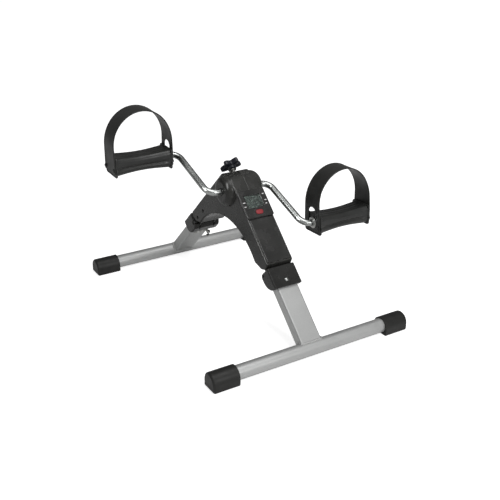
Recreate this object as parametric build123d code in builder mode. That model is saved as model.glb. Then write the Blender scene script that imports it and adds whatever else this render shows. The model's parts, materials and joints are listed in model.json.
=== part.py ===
"""Folding pedal exerciser: millimetres, X across, Y fore and aft (user at -Y), Z up, floor at Z 0."""

from build123d import *
from math import cos, radians, sin
import os

os.makedirs("parts", exist_ok=True)

# Stance and legs
leg_angle = 43.5
tube_y = 247.7
tube_z = 15.0
tube_r = 13.0
tube_wall = 1.5
tube_half = 190.0
cap_end = 200.0
cap_length = 48.9
cap_width = 35.0
cap_height = 30.6
leg_width = 42.0
leg_depth = 20.0
leg_mid = 181.0
rear_shift = 8.0

# Housing
shell_half = 27.0
shell_wall = 2.5
front_off = 200.0
rear_off = 196.0
top_z = 258.5
crown_z = 176.0
cover_u = 34.0
cover_width = 47.4
cover_length = 85.0

# Crank
axle_y = -5.0
axle_z = 229.7
rod_r = 6.0
crank_radius = 118.0
crank_angle = 25.0
bend_in_x = 62.7
bend_out_x = 72.0
bend_r = 20.0
ear_face = 38.5
ear_r = 29.0

# Pedals
pedal_in = 92.4
pedal_length = 111.2
tread_width = 46.0
tread_height = 35.2
waist_width = 41.0
waist_height = 29.6
pedal_drop = 1.2
plate_width = 49.0
plate_height = 38.0
hook_drop = 6.0
hook_fore = 18.0
washer_r = 10.5
plate_t = 3.0
left_tilt = 2.0
right_tilt = -2.0
strap_width = 46.0
strap_top_width = 41.0
strap_t = 2.0
strap_foot = -12.5
strap_shoulder = 34.0
strap_top = 95.8
strap_lean = 1.6
opening_top = 18.0

# Hinges
pivot_off = 176.0
pivot_u = -20.0
pin_r = 4.0
plate_in = 15.0
plate_thick = 2.0

# Tension knob
knob_y = 25.0
knob_z = 266.4
knob_lean = 50.0
knob_r = 21.0

# Brake
drum_r = 14.5
sensor_gap = 5.4

ca = cos(radians(leg_angle))
sa = sin(radians(leg_angle))


def limb(side, off, u):
    """Y and Z of a point at distance off out from the limb's base line and u up along it."""
    return (side * (off * sa - u * ca), off * ca + u * sa)


def shift(side):
    return rear_shift if side > 0 else 0.0


def limb_plane(side, off, u, x=0.0):
    """Plane across a limb: local x is X, local y is outward, normal points up the limb."""
    y, z = limb(side, off, u)
    return Plane(origin=(x, y, z), x_dir=(-side, 0, 0), z_dir=(0, -side * ca, sa))


def face_plane(side, off, u, x=0.0):
    """Plane on a limb's outer face: local x is X, local y is up the limb, normal points out."""
    y, z = limb(side, off, u)
    return Plane(origin=(x, y, z), x_dir=(-side, 0, 0), z_dir=(0, side * sa, ca))


def side_plane(y, z, x=0.0):
    """Plane facing +X through a point, local x along Y and local y along Z."""
    return Plane(origin=(x, y, z), x_dir=(0, 1, 0), z_dir=(1, 0, 0))


def save(piece, name):
    piece.label = name
    export_step(piece, "parts/" + name + ".step")


pivot = {side: limb(side, pivot_off, pivot_u + shift(side)) for side in (-1, 1)}
tube_u = tube_z * sa - tube_y * ca


# ---------------------------------------------------------------- housing
def shell_outline(inset):
    """Side view of the housing, drawn as a closed face on the current sketch."""
    front_top = (top_z * ca - front_off) / sa
    rear_top = (rear_off - top_z * ca) / sa
    front_foot = limb(-1, front_off, -11.5)
    front_tip = limb(-1, 187.0, -16.0)
    front_in = limb(-1, 174.0, -8.8)
    front_arch = (-104.0, 125.3)
    rear_foot = limb(1, rear_off, -9.5 + rear_shift)
    rear_tip = limb(1, 187.0, -14.5 + rear_shift)
    rear_in = limb(1, 174.5, -8.5 + rear_shift)
    rear_arch = (101.0, 129.0)
    with BuildSketch(Plane.YZ) as outline:
        with BuildLine():
            Polyline(front_arch, front_in, front_tip, front_foot, (front_top, top_z))
            Line((front_top, top_z), (rear_top, top_z))
            Polyline((rear_top, top_z), rear_foot, rear_tip, rear_in, rear_arch)
            ThreePointArc(rear_arch, (0.0, crown_z), front_arch)
        make_face()
        corners = outline.vertices().sort_by(Axis.Y)
        fillet(corners[-2:], 13.0)
        fillet(outline.vertices().sort_by(Axis.Y)[:4], 3.5)
        if inset > 0:
            offset(amount=-inset, kind=Kind.INTERSECTION)
    return outline.sketch


outer_outline = shell_outline(0.0)
inner_outline = shell_outline(shell_wall)
with BuildPart() as shell_body:
    add(outer_outline)
    extrude(amount=shell_half, dir=(1, 0, 0), both=True)
    fillet(shell_body.faces().filter_by(Axis.X).edges(), 2.4)
    for side in (-1, 1):
        with BuildSketch(Plane(origin=(0, axle_y, axle_z), z_dir=(0, 0, 1))) as ear:
            with BuildLine():
                Polyline((side * 20, 0), (side * 20, ear_r), (side * (shell_half + 1.5), ear_r))
                ThreePointArc(
                    (side * (shell_half + 1.5), ear_r),
                    (side * (ear_face - 3.2), ear_r - 3.8),
                    (side * ear_face, 18.0),
                )
                Polyline((side * ear_face, 18.0), (side * ear_face, 0), (side * 20, 0))
            make_face()
        revolve(axis=Axis((0, axle_y, axle_z), (1, 0, 0)))

screw_spots = [(1, 176.0, 45.0), (1, 176.5, 13.3), (-1, 176.0, 45.0), (-1, 176.5, 13.3)]
knob_dir = (0, sin(radians(knob_lean)), cos(radians(knob_lean)))


def knob_plane(s):
    """Plane square to the knob axis, s along it from the knob's middle."""
    return Plane(
        origin=(0, knob_y + s * knob_dir[1], knob_z + s * knob_dir[2]), x_dir=(1, 0, 0), z_dir=knob_dir
    )


with BuildPart() as shell_cuts:
    # hollow inside
    add(inner_outline)
    extrude(amount=shell_half - shell_wall, dir=(1, 0, 0), both=True)
    with BuildSketch(side_plane(axle_y, axle_z)):
        Circle(22.0)
    extrude(amount=34.5, both=True)
    # crank openings
    with BuildSketch(side_plane(axle_y, axle_z)):
        Circle(rod_r + 0.6)
    extrude(amount=60, both=True)
    # slots for the hinge plates at both limb ends
    for side in (-1, 1):
        for x in (-16, 16):
            with BuildSketch(limb_plane(side, 176.8, 9 + shift(side), x)):
                Rectangle(3.0, 18.4)
            extrude(amount=-40)
    # display and front cover openings
    with BuildSketch(face_plane(-1, 180.0, 105.0)):
        Rectangle(45.0, 51.0)
    extrude(amount=30)
    with BuildSketch(face_plane(-1, front_off, 105.0)):
        Rectangle(60.0, 56.6)
    extrude(amount=10)
    with BuildSketch(face_plane(-1, front_off - 1.6, cover_u)):
        Rectangle(cover_width + 0.4, cover_length + 0.4)
    extrude(amount=10)
    with BuildSketch(face_plane(-1, front_off - 4.0, cover_u)):
        Rectangle(cover_width - 5.6, cover_length - 5.6)
    extrude(amount=3)
    # seam notch under the crown
    with BuildSketch(side_plane(2.0, crown_z + 3.6, -shell_half)):
        Rectangle(1.4, 6.0)
    extrude(amount=1.0)
    # tension screw hole
    with BuildSketch(knob_plane(-24.0)):
        Circle(5.2)
    extrude(amount=20)

with BuildPart() as screw_bosses:
    for side, off, u in screw_spots:
        with BuildSketch(side_plane(*limb(side, off, u))):
            Circle(4.4)
        extrude(amount=shell_half - shell_wall + 0.2, both=True)

with BuildPart() as screw_holes:
    for side, off, u in screw_spots:
        y, z = limb(side, off, u)
        with BuildSketch(side_plane(y, z)):
            Circle(1.6)
        extrude(amount=20, both=True)
        with BuildSketch(side_plane(y, z, -side * 16.0)):
            Circle(3.4)
        extrude(amount=-side * 20)

for side, name in ((-1, "housing_left"), (1, "housing_right")):
    with BuildPart() as shell:
        add(shell_body.part)
        add(shell_cuts.part, mode=Mode.SUBTRACT)
        add(screw_bosses.part)
        add(screw_holes.part, mode=Mode.SUBTRACT)
        with Locations((side * 60.05, 0, 200)):
            Box(120, 500, 300, mode=Mode.INTERSECT)
    save(shell.part, name)

with BuildPart() as front_cover:
    with BuildSketch(face_plane(-1, front_off - 1.5, cover_u)):
        RectangleRounded(cover_width, cover_length, 2.0)
    extrude(amount=1.9)
    chamfer(front_cover.faces().sort_by(Axis.Y)[0].edges(), 0.6)
    with BuildSketch(face_plane(-1, front_off - 3.9, cover_u)):
        RectangleRounded(cover_width - 6.2, cover_length - 6.2, 2.0)
        RectangleRounded(cover_width - 10.2, cover_length - 10.2, 1.0, mode=Mode.SUBTRACT)
    extrude(amount=2.4)
save(front_cover.part, "front_cover")

with BuildPart() as housing_screws:
    for side, off, u in screw_spots:
        y, z = limb(side, off, u)
        with BuildSketch(side_plane(y, z, -side * 18.6)):
            Circle(3.0)
            RegularPolygon(1.2, 6, mode=Mode.SUBTRACT)
        extrude(amount=side * 2.5)
        with BuildSketch(side_plane(y, z, -side * 16.1)):
            Circle(1.5)
        extrude(amount=side * 32.0)
save(housing_screws.part, "housing_screws")

# ---------------------------------------------------------------- display
disp_u = 105.0
lcd_u = 109.4
lcd_x = -1.2
reset_u = 87.5
reset_x = 0.5
with BuildPart() as display_case:
    with BuildSketch(face_plane(-1, front_off + 0.1, disp_u)):
        RectangleRounded(55.0, 55.6, 3.0)
    extrude(amount=3.4)
    fillet(display_case.faces().sort_by(Axis((0, 0, 0), (0, -sa, ca)))[-1].edges(), 1.2)
    with BuildSketch(face_plane(-1, 189.0, disp_u)):
        RectangleRounded(44.4, 50.4, 2.0)
    extrude(amount=11.2)
    with BuildSketch(face_plane(-1, 190.6, disp_u)):
        RectangleRounded(41.2, 47.2, 1.0)
    extrude(amount=10.6, mode=Mode.SUBTRACT)
    with BuildSketch(face_plane(-1, 198.0, lcd_u, lcd_x)):
        Rectangle(32.4, 25.4)
    extrude(amount=10, mode=Mode.SUBTRACT)
    with BuildSketch(face_plane(-1, 198.0, reset_u, reset_x)):
        SlotOverall(15.3, 9.3)
    extrude(amount=10, mode=Mode.SUBTRACT)
save(display_case.part, "display_case")

with BuildPart() as display_window:
    with BuildSketch(face_plane(-1, 201.6, lcd_u, lcd_x)):
        Rectangle(32.2, 25.2)
    extrude(amount=1.3)
save(display_window.part, "display_window")

with BuildPart() as display_lcd:
    with BuildSketch(face_plane(-1, 198.6, lcd_u, lcd_x)):
        Rectangle(34.0, 27.0)
    extrude(amount=2.2)
save(display_lcd.part, "display_lcd")

with BuildPart() as display_board:
    with BuildSketch(face_plane(-1, 195.4, disp_u)):
        RectangleRounded(40.6, 46.6, 1.0)
    extrude(amount=1.6)
    for x in (-12, 12):
        with BuildSketch(face_plane(-1, 197.0, lcd_u, x)):
            Rectangle(4.0, 20.0)
        extrude(amount=1.6)
    with BuildSketch(face_plane(-1, 197.0, reset_u, reset_x)):
        Rectangle(6.0, 6.0)
    extrude(amount=1.2)
save(display_board.part, "display_board")

with BuildPart() as display_battery:
    with BuildSketch(face_plane(-1, 191.2, 104.0)):
        Circle(10.0)
    extrude(amount=3.6)
    fillet(display_battery.edges().filter_by(GeomType.CIRCLE), 0.5)
save(display_battery.part, "display_battery")

mark_spots = [
    (-22.0, 109.2, 5.0),
    (-22.8, 101.2, 4.0),
    (21.4, 120.3, 3.4),
    (21.8, 107.7, 4.4),
    (20.6, 100.8, 3.2),
]
with BuildPart() as display_marks:
    for x, u, length in mark_spots:
        with BuildSketch(face_plane(-1, front_off + 3.5, u, x)):
            SlotOverall(length, 1.7)
        extrude(amount=0.15)
save(display_marks.part, "display_marks")

with BuildPart() as display_button:
    with BuildSketch(face_plane(-1, 199.4, reset_u, reset_x)):
        SlotOverall(15.0, 9.0)
    extrude(amount=5.4)
    fillet(display_button.faces().sort_by(Axis((0, 0, 0), (0, -sa, ca)))[-1].edges(), 1.0)
    with BuildSketch(face_plane(-1, 199.4, reset_u, reset_x)):
        SlotOverall(18.0, 12.0)
    extrude(amount=1.0)
save(display_button.part, "display_button")

# ---------------------------------------------------------------- inner frame
for side_x, name in ((-1, "frame_plate_left"), (1, "frame_plate_right")):
    with BuildPart() as frame_plate:
        with BuildSketch(side_plane(0, 0, side_x * plate_in)):
            for side in (-1, 1):
                with BuildLine():
                    Polyline(
                        limb(side, 168.2, pivot_u + shift(side)),
                        limb(side, 184.6, pivot_u + shift(side)),
                        limb(side, 184.6, 60.0),
                        limb(side, 184.6, 150.0),
                        limb(side, 158.0, 150.0),
                        limb(side, 164.8, 60.0),
                        limb(side, 168.0, 30.0),
                        close=True,
                    )
                make_face()
                with Locations(pivot[side]):
                    Circle(8.6)
            with Locations((axle_y, axle_z)):
                Circle(20.0)
                Circle(9.0, mode=Mode.SUBTRACT)
            for side in (-1, 1):
                with Locations(pivot[side]):
                    Circle(pin_r + 0.01, mode=Mode.SUBTRACT)
            with Locations(*[limb(side, off, u) for side, off, u in screw_spots]):
                Circle(4.8, mode=Mode.SUBTRACT)
        extrude(amount=side_x * plate_thick)
    save(frame_plate.part, name)

with BuildPart() as frame_spacers:
    for side in (-1, 1):
        with BuildSketch(side_plane(*limb(side, 176.0, 72.0))):
            Circle(5.0)
        extrude(amount=plate_in, both=True)
    with BuildSketch(side_plane(axle_y - 2.0, axle_z - 33.0)):
        Circle(5.0)
    extrude(amount=plate_in, both=True)
save(frame_spacers.part, "frame_spacers")

for side, name in ((-1, "bushing_left"), (1, "bushing_right")):
    with BuildPart() as bushing:
        with BuildSketch(side_plane(axle_y, axle_z, side * 13.4)):
            Circle(8.98)
            Circle(rod_r + 0.05, mode=Mode.SUBTRACT)
        extrude(amount=side * 7.0)
        with BuildSketch(side_plane(axle_y, axle_z, side * 17.1)):
            Circle(12.0)
            Circle(rod_r + 0.05, mode=Mode.SUBTRACT)
        extrude(amount=side * 2.0)
    save(bushing.part, name)

sensor_y = axle_y - drum_r - sensor_gap
with BuildPart() as reed_sensor:
    with Locations((-10.0, sensor_y, axle_z + 1.0)):
        Box(9.6, 4.4, 14.0)
    fillet(reed_sensor.edges().filter_by(Axis.Z), 0.8)
save(reed_sensor.part, "reed_sensor")

with BuildPart() as sensor_cable:
    cable_start = limb(-1, 192.6, 130.3)
    with BuildLine() as cable_path:
        Spline(
            (-10.0, cable_start[0], cable_start[1]),
            (-10.0, sensor_y - 3.2, axle_z + 12.0),
            (-10.0, sensor_y, axle_z + 8.1),
            tangents=[(0, ca, sa), (0, 0.1, -1)],
        )
    with BuildSketch(Plane(origin=cable_path.line @ 0, z_dir=cable_path.line % 0)):
        Circle(1.1)
    sweep()
save(sensor_cable.part, "sensor_cable")


# ---------------------------------------------------------------- brake
with BuildPart() as brake_drum:
    with BuildSketch(side_plane(axle_y, axle_z)):
        Circle(drum_r)
        Circle(rod_r, mode=Mode.SUBTRACT)
    extrude(amount=12.0, both=True)
    for side in (-1, 1):
        with BuildSketch(side_plane(axle_y, axle_z, side * 12.0)):
            Circle(11.4)
            Circle(8.6, mode=Mode.SUBTRACT)
        extrude(amount=-side * 4.0, mode=Mode.SUBTRACT)
    with BuildSketch(Plane(origin=(-6.0, axle_y, axle_z - drum_r), x_dir=(1, 0, 0), z_dir=(0, 0, 1))):
        Circle(2.5)
    extrude(amount=3.0, mode=Mode.SUBTRACT)
    with BuildSketch(Plane(origin=(0, axle_y, axle_z - rod_r), x_dir=(1, 0, 0), z_dir=(0, 0, -1))):
        Circle(2.5)
    extrude(amount=14, mode=Mode.SUBTRACT)
save(brake_drum.part, "brake_drum")

with BuildPart() as sensor_magnet:
    with BuildSketch(Plane(origin=(-6.0, axle_y, axle_z - drum_r + 0.6), x_dir=(1, 0, 0), z_dir=(0, 0, 1))):
        Circle(2.49)
    extrude(amount=2.4)
save(sensor_magnet.part, "sensor_magnet")

with BuildPart() as drum_screw:
    with BuildSketch(Plane(origin=(0, axle_y, axle_z - rod_r - 0.1), x_dir=(1, 0, 0), z_dir=(0, 0, -1))):
        Circle(2.49)
    extrude(amount=7.6)
    with BuildSketch(Plane(origin=(0, axle_y, axle_z - rod_r - 7.7), x_dir=(1, 0, 0), z_dir=(0, 0, 1))):
        RegularPolygon(1.3, 6)
    extrude(amount=2.5, mode=Mode.SUBTRACT)
save(drum_screw.part, "drum_screw")

with BuildPart() as brake_nut:
    with BuildSketch(knob_plane(-28.2)):
        RectangleRounded(28.0, 9.0, 1.5)
    extrude(amount=5.8)
    with BuildSketch(knob_plane(-27.6)):
        Circle(3.05)
    extrude(amount=8.0, mode=Mode.SUBTRACT)
save(brake_nut.part, "brake_nut")

with BuildPart() as brake_pad:
    with BuildSketch(knob_plane(-35.2)):
        RectangleRounded(20.0, 9.0, 1.0)
    extrude(amount=7.0)
    with BuildSketch(side_plane(axle_y, axle_z)):
        Circle(drum_r + 2.4)
    extrude(amount=20, both=True, mode=Mode.SUBTRACT)
save(brake_pad.part, "brake_pad")

with BuildPart() as tension_screw:
    with BuildSketch(knob_plane(-25.4)):
        Circle(3.0)
    extrude(amount=27.5)
    with BuildSketch(knob_plane(-12.6)):
        Circle(6.5)
    extrude(amount=1.0)
save(tension_screw.part, "tension_screw")

with BuildPart() as tension_knob:
    with BuildSketch(knob_plane(-5.0)) as star:
        Circle(13.0)
        with PolarLocations(knob_r / 2, 5):
            RectangleRounded(knob_r, 10.0, 4.8)
    extrude(amount=8.6)
    with BuildSketch(knob_plane(-9.5)):
        Circle(7.5)
    extrude(amount=4.6)
    with BuildSketch(knob_plane(-9.6)):
        Circle(3.0)
    extrude(amount=14.0, mode=Mode.SUBTRACT)
save(tension_knob.part, "tension_knob")

# ---------------------------------------------------------------- crank and pedals
reach_y = crank_radius * cos(radians(crank_angle))
reach_z = crank_radius * sin(radians(crank_angle))
spindle = {-1: (axle_y + reach_y, axle_z + reach_z), 1: (axle_y - reach_y, axle_z - reach_z)}
rod_end = pedal_in + pedal_length - 4.5
with BuildPart() as crank_rod:
    with BuildLine() as crank_path:
        FilletPolyline(
            (-rod_end, *spindle[-1]),
            (-bend_out_x, *spindle[-1]),
            (-bend_in_x, axle_y, axle_z),
            (bend_in_x, axle_y, axle_z),
            (bend_out_x, *spindle[1]),
            (rod_end, *spindle[1]),
            radius=bend_r,
        )
    with BuildSketch(side_plane(*spindle[-1], -rod_end)):
        Circle(rod_r)
    sweep()
save(crank_rod.part, "crank_rod")

tilt = {-1: radians(left_tilt), 1: radians(right_tilt)}


def pedal_plane(side, x):
    """Plane across a pedal at a distance x from the middle: local x is fore and aft, y is up."""
    fore = (0, side * cos(tilt[side]), side * sin(tilt[side]))
    return Plane(origin=(side * x, *spindle[side]), x_dir=fore, z_dir=(side, 0, 0))


def strap_plane(side):
    """Upright plane along a pedal's middle: local x is X, local y is up."""
    facing = (0, -cos(tilt[side]), -sin(tilt[side]))
    return Plane(origin=(side * pedal_mid, *spindle[side]), x_dir=(1, 0, 0), z_dir=facing)


pedal_out = pedal_in + pedal_length
pedal_mid = (pedal_in + pedal_out) / 2
strap_half = pedal_length / 2 + 1.2
strap_leg = strap_shoulder - strap_foot
strap_rise = strap_top - strap_shoulder
for side, word in ((-1, "left"), (1, "right")):
    with BuildPart() as pedal_body:
        for x, width, height in (
            (pedal_in + plate_t, tread_width, tread_height),
            (pedal_mid, waist_width, waist_height),
            (pedal_out - plate_t, tread_width, tread_height),
        ):
            with BuildSketch(pedal_plane(side, x)):
                with Locations((0, -pedal_drop)):
                    RectangleRounded(width, height, 7.0)
        loft()
        with BuildSketch(pedal_plane(side, pedal_in)):
            Circle(rod_r + 0.05)
        extrude(amount=pedal_length, mode=Mode.SUBTRACT)
        with BuildSketch(pedal_plane(side, pedal_out - 9.0)):
            Circle(10.5)
        extrude(amount=10.0, mode=Mode.SUBTRACT)
    save(pedal_body.part, word + "_pedal_body")

    for x0, place, out in ((pedal_in + plate_t, "inner", -1), (pedal_out - plate_t, "outer", 1)):
        with BuildPart() as pedal_plate:
            with BuildSketch(pedal_plane(side, x0)):
                with Locations((0, -pedal_drop)):
                    RectangleRounded(plate_width, plate_height, 5.0)
                with Locations((plate_width / 2, -hook_drop), (-plate_width / 2, -hook_drop)):
                    Circle(2.6)
            extrude(amount=out * plate_t)
            if place == "inner":
                with BuildSketch(pedal_plane(side, x0)):
                    Circle(rod_r + 0.3)
                extrude(amount=out * plate_t, mode=Mode.SUBTRACT)
            with BuildSketch(pedal_plane(side, x0 + out * plate_t)):
                with Locations((hook_fore, -hook_drop), (-hook_fore, -hook_drop)):
                    Circle(2.4)
            extrude(amount=out * 3.0)
            with BuildSketch(pedal_plane(side, x0 + out * (plate_t + 2.6))):
                with Locations((hook_fore, -hook_drop), (-hook_fore, -hook_drop)):
                    Circle(3.4)
            extrude(amount=out * 1.6)
        save(pedal_plate.part, word + "_pedal_plate_" + place)

    with BuildPart() as retainer:
        with BuildSketch(pedal_plane(side, pedal_out - 7.4)):
            Circle(9.5)
            Circle(rod_r, mode=Mode.SUBTRACT)
        extrude(amount=1.2)
    save(retainer.part, word + "_pedal_retainer")

    with BuildPart() as washer:
        with BuildSketch(pedal_plane(side, pedal_in - 2.2)):
            Circle(washer_r)
            Circle(rod_r, mode=Mode.SUBTRACT)
        extrude(amount=2.1)
        washer_rim = washer.faces().sort_by(Axis.X)[0 if side > 0 else -1].edges().sort_by(SortBy.RADIUS)[-1]
        chamfer(washer_rim, 0.8)
    save(washer.part, word + "_pedal_washer")

    lean = side * strap_lean
    with BuildPart() as strap:
        with BuildSketch(strap_plane(side)):
            with Locations((0, strap_shoulder)):
                Ellipse(strap_half + strap_t / 2, strap_rise + strap_t / 2)
            with Locations((0, strap_shoulder - strap_leg / 2)):
                Rectangle(2 * strap_half + strap_t, strap_leg)
            with Locations((0, strap_shoulder)):
                Ellipse(strap_half - strap_t / 2, strap_rise - strap_t / 2, mode=Mode.SUBTRACT)
            with Locations((0, strap_shoulder - strap_leg / 2)):
                Rectangle(2 * strap_half - strap_t, strap_leg + 1.0, mode=Mode.SUBTRACT)
            with Locations((0, strap_foot + 100.0)):
                Rectangle(200.0, 200.0, mode=Mode.INTERSECT)
        extrude(amount=strap_width / 2, both=True)
        with BuildSketch(pedal_plane(side, 0)):
            with BuildLine():
                Polyline(
                    (-strap_width / 2, strap_foot),
                    (-strap_width / 2, 10.0),
                    (lean - strap_top_width / 2, 60.0),
                    (lean - strap_top_width / 2, strap_top + 5.0),
                    (lean + strap_top_width / 2, strap_top + 5.0),
                    (lean + strap_top_width / 2, 60.0),
                    (strap_width / 2, 10.0),
                    (strap_width / 2, strap_foot),
                    close=True,
                )
            make_face()
        extrude(amount=pedal_out + 20.0, mode=Mode.INTERSECT)
        with BuildSketch(pedal_plane(side, pedal_in - 10.0)):
            with Locations((0, (strap_foot + opening_top) / 2 - 1.0)):
                Rectangle(24.0, opening_top - strap_foot + 2.0)
            with Locations((0, opening_top)):
                Circle(12.0)
        extrude(amount=20.0, mode=Mode.SUBTRACT)
        with BuildSketch(pedal_plane(side, pedal_in - 10.0)):
            with Locations((hook_fore, -hook_drop), (-hook_fore, -hook_drop)):
                Circle(2.5)
        extrude(amount=pedal_length + 20.0, mode=Mode.SUBTRACT)
    save(strap.part, word + "_strap")

# ---------------------------------------------------------------- folding legs
knuckle_half = {-1: 28.0, 1: 28.0}
knuckle_foot = {-1: -55.5, 1: -50.0}
knuckle_inner = {-1: 165.5, 1: 163.5}
button_u = {-1: -44.0, 1: -40.0}
for side, word in ((-1, "front"), (1, "rear")):
    top_u = pivot_u + 3.0 + shift(side)
    foot_u = knuckle_foot[side]
    curve = 26.0 if side < 0 else 19.0
    inner = knuckle_inner[side]
    with BuildPart() as knuckle:
        with BuildSketch(Plane.YZ) as knuckle_face:
            with BuildLine():
                Polyline(
                    limb(side, inner + curve, foot_u),
                    limb(side, 196.0, foot_u),
                    limb(side, 196.0, top_u),
                    limb(side, 170.0, top_u),
                    limb(side, 166.3, top_u - 3.7),
                    limb(side, inner, top_u - 8.0),
                    limb(side, inner, foot_u + curve),
                )
                ThreePointArc(
                    limb(side, inner, foot_u + curve),
                    limb(side, inner + curve * 0.293, foot_u + curve * 0.293),
                    limb(side, inner + curve, foot_u),
                )
            make_face()
        extrude(amount=knuckle_half[side], both=True)
        fillet(knuckle.faces().filter_by(Axis.X).edges(), 2.0)
        with BuildSketch(limb_plane(side, leg_mid, -32.5 + shift(side))):
            RectangleRounded(leg_width + 0.1, leg_depth + 0.1, 3.0)
        extrude(amount=-60, mode=Mode.SUBTRACT)
        for x in (-16, 16):
            with BuildSketch(limb_plane(side, 172.0, pivot_u - 10.2 + shift(side), x)):
                Rectangle(2.6, 27.0)
            extrude(amount=20, mode=Mode.SUBTRACT)
        with BuildSketch(side_plane(*pivot[side])):
            Circle(pin_r + 0.05)
        extrude(amount=40, both=True, mode=Mode.SUBTRACT)
        with BuildSketch(face_plane(side, 185.0, button_u[side])):
            Circle(3.85)
        extrude(amount=20, mode=Mode.SUBTRACT)
    save(knuckle.part, word + "_knuckle")

    with BuildPart() as hinge_pin:
        with BuildSketch(side_plane(*pivot[side])):
            Circle(pin_r)
        extrude(amount=knuckle_half[side] - 1.5, both=True)
        chamfer(hinge_pin.edges().filter_by(GeomType.CIRCLE), 0.5)
    save(hinge_pin.part, word + "_hinge_pin")

    with BuildPart() as leg:
        with BuildSketch(limb_plane(side, leg_mid, tube_u + 2.0)):
            RectangleRounded(leg_width, leg_depth, 3.0)
            RectangleRounded(leg_width - 2 * tube_wall, leg_depth - 2 * tube_wall, 1.5, mode=Mode.SUBTRACT)
        extrude(amount=-33.0 + shift(side) - tube_u - 2.0)
        with BuildSketch(side_plane(side * tube_y, tube_z)):
            Circle(tube_r)
        extrude(amount=60, both=True, mode=Mode.SUBTRACT)
        with BuildSketch(face_plane(side, 185.0, button_u[side])):
            Circle(3.85)
        extrude(amount=10, mode=Mode.SUBTRACT)
    save(leg.part, word + "_leg")

    with BuildPart() as floor_tube:
        with BuildSketch(side_plane(side * tube_y, tube_z)):
            Circle(tube_r)
            Circle(tube_r - tube_wall, mode=Mode.SUBTRACT)
        extrude(amount=tube_half, both=True)
    save(floor_tube.part, word + "_floor_tube")

    with BuildPart() as weld:
        with BuildSketch(limb_plane(side, leg_mid, tube_u)):
            RectangleRounded(leg_width + 5.0, leg_depth + 5.0, 5.5)
            RectangleRounded(leg_width + 0.02, leg_depth + 0.02, 3.0, mode=Mode.SUBTRACT)
        extrude(amount=20.0)
        with BuildSketch(side_plane(side * tube_y, tube_z)):
            Circle(tube_r + 3.0)
        extrude(amount=60, both=True, mode=Mode.INTERSECT)
        with BuildSketch(side_plane(side * tube_y, tube_z)):
            Circle(tube_r + 0.01)
        extrude(amount=60, both=True, mode=Mode.SUBTRACT)
    save(weld.part, word + "_weld")

    for x_side, x_word in ((-1, "left"), (1, "right")):
        with BuildPart() as cap:
            half = cap_width / 2
            shoulder = cap_height - half
            with BuildSketch(side_plane(side * tube_y, 0, x_side * (cap_end - cap_length))) as cap_face:
                with BuildLine():
                    Polyline((-half, shoulder), (-half, 0), (half, 0), (half, shoulder))
                    ThreePointArc((half, shoulder), (0, cap_height), (-half, shoulder))
                make_face()
                fillet(cap_face.vertices().sort_by(Axis.Y)[:2], 3.0)
            extrude(amount=x_side * cap_length)
            fillet(cap.faces().sort_by(Axis.X)[0 if x_side < 0 else -1].edges(), 4.0)
            with BuildSketch(side_plane(side * tube_y, tube_z, x_side * (cap_end - cap_length))):
                Circle(tube_r + 0.02)
            extrude(amount=x_side * (tube_half + 0.2 - cap_end + cap_length), mode=Mode.SUBTRACT)
        save(cap.part, word + "_cap_" + x_word)

    with BuildPart() as lock_button:
        with BuildSketch(face_plane(side, 187.2, button_u[side])):
            Circle(5.4)
        extrude(amount=2.2)
        with BuildSketch(face_plane(side, 189.4, button_u[side])):
            Circle(3.75)
        extrude(amount=8.8)
        fillet(lock_button.faces().sort_by(Axis((0, 0, 0), (0, side * sa, ca)))[-1].edges(), 2.0)
    save(lock_button.part, word + "_lock_button")

    with BuildPart() as button_spring:
        with BuildSketch(face_plane(side, 172.6, button_u[side])):
            Circle(4.0)
            Circle(3.0, mode=Mode.SUBTRACT)
        extrude(amount=11.2)
    save(button_spring.part, word + "_button_spring")

# ---------------------------------------------------------------- transport hook on the rear leg
hook_pivot = limb(1, 164.6, -54.5)
with BuildPart() as hook_bracket:
    with BuildSketch(limb_plane(1, 170.2, -64.0, 4.0)):
        Rectangle(30.0, 1.5)
    extrude(amount=13.0)
    with BuildSketch(side_plane(*hook_pivot, 15.0)):
        Circle(4.0)
    extrude(amount=1.5)
    with BuildSketch(limb_plane(1, 167.0, -58.5, 15.75)):
        Rectangle(1.5, 5.4)
    extrude(amount=8.0)
    with BuildSketch(side_plane(*hook_pivot, 15.0)):
        Circle(1.5)
    extrude(amount=6.6)
save(hook_bracket.part, "hook_bracket")

with BuildPart() as hook_rivets:
    for x in (-7.0, 3.0, 11.0):
        with BuildSketch(face_plane(1, 169.4, -57.5, x)):
            Circle(2.4)
        extrude(amount=-1.4)
save(hook_rivets.part, "hook_rivets")

with BuildPart() as transport_hook:
    with BuildSketch(side_plane(*hook_pivot, 17.0)):
        Circle(3.4)
        Circle(1.55, mode=Mode.SUBTRACT)
    extrude(amount=3.2)
    with BuildLine() as hook_path:
        start = limb(1, 164.4, -57.8)
        ThreePointArc((18.6, *start), (18.6, *limb(1, 160.0, -62.4)), (18.6, *limb(1, 163.4, -67.0)))
    with BuildSketch(Plane(origin=hook_path.line @ 0, z_dir=hook_path.line % 0)):
        Circle(1.5)
    sweep()
save(transport_hook.part, "transport_hook")
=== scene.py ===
"""Looks for the folding pedal exerciser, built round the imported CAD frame, which is in metres."""

import json
import math

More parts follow.
